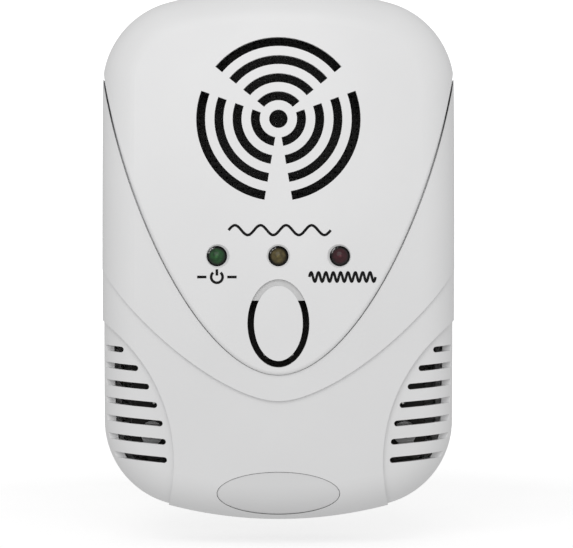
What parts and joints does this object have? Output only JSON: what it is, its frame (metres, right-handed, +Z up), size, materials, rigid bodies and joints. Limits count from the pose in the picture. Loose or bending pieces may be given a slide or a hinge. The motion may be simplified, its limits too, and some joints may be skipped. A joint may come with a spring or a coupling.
{
  "type": "plug-in ultrasonic pest repeller",
  "caption": "Plug-in pest repeller: rounded white case with a V-shaped hood, round sound grille, three lamps, an oval push flap, side vents and a two-pin plug.",
  "frame": {"origin": "centre of the plug boss's flat face, midway between the two pins", "axes": "+Z up, +X to the right of someone facing the device, +Y into the wall along the pins"},
  "size_m": [0.0848, 0.0691, 0.1276],
  "materials": {
    "white_abs": "fine satin moulding",
    "white_abs_shield": "fine satin moulding",
    "badge": "smooth",
    "label": "blank film label",
    "pin_metal": "nickel-plated",
    "sleeve": "smooth",
    "clamp_plastic": "moulded",
    "screw_steel": "zinc-plated",
    "board": "phenolic paper board",
    "lamp_green": "tinted, diffused",
    "lamp_amber": "tinted, diffused",
    "lamp_red": "tinted, diffused",
    "spacer": "moulded",
    "tinned": "tinned copper",
    "solder": "bright solder",
    "black_plastic": "moulded",
    "cover_steel": "stamped",
    "film_box": "epoxy-filled box",
    "can_sleeve": "heat-shrunk sleeve",
    "fuse": "lacquered",
    "diode": "epoxy with a pale band",
    "resistor": "lacquered with bands",
    "epoxy_black": "moulded epoxy",
    "cloth": "woven dust cloth",
    "sounder_plastic": "moulded",
    "cone": "pressed foil",
    "disc_brass": "plain",
    "disc_ceramic": "silvered ceramic",
    "header": "moulded",
    "wire_thin": "insulation",
    "bobbin": "moulded",
    "winding": "enamelled copper wire",
    "ferrite": "ground ferrite",
    "wire_live": "insulation",
    "wire_neutral": "insulation"
  },
  "bodies": {
    "case": {"front_shell": "white_abs", "front_shield": "white_abs_shield", "button_hinge_web": "white_abs_shield", "badge_plate": "badge", "rear_shell": "white_abs", "rating_label": "label", "live_pin": "pin_metal", "neutral_pin": "pin_metal", "pin_sleeves": "sleeve", "pin_clamp_plate": "clamp_plastic", "clamp_screws": "screw_steel", "case_screws": "screw_steel", "board_screws": "screw_steel", "speaker_screws": "screw_steel", "main_board": "board", "led_power": "lamp_green", "led_magnetic": "lamp_amber", "led_ultrasonic": "lamp_red", "led_spacers": "spacer", "component_leads": "tinned", "solder_joints": "solder", "switch_body": "black_plastic", "switch_cover": "cover_steel", "film_capacitor": "film_box", "electrolytic_cans": "can_sleeve", "fuse_body": "fuse", "diodes": "diode", "resistors": "resistor", "transistors": "epoxy_black", "control_chip": "epoxy_black", "chip_legs": "tinned", "dust_cloth": "cloth", "speaker_frame": "sounder_plastic", "speaker_cone": "cone", "piezo_disc": "disc_brass", "piezo_ceramic": "disc_ceramic", "speaker_cap": "sounder_plastic", "speaker_header": "header", "speaker_wires": "wire_thin", "coil_bobbin": "bobbin", "coil_winding": "winding", "coil_core": "ferrite", "coil_leads": "winding", "live_wire": "wire_live", "neutral_wire": "wire_neutral", "wire_ends": "tinned"},
    "button": {"button_flap": "white_abs_shield"},
    "plunger": {"switch_plunger": "black_plastic"}
  },
  "joints": [
    {"name": "button_press", "type": "hinge", "parent": "case", "child": "button", "pos_m": [0, -0.04875, -0.0067], "axis": [1, 0, 0], "range_deg": [0, 1.31], "stiffness_Nm_per_rad": 0.6, "deforming": ["button_hinge_web"]},
    {"name": "switch_plunger_slide", "type": "slide", "parent": "case", "child": "plunger", "axis": [0, 1, 0], "range_m": [0, 0.00036]}
  ],
  "couplings": [
    {"joint": "switch_plunger_slide", "follows": "button_press", "m_per_rad": 0.015305}
  ]
}
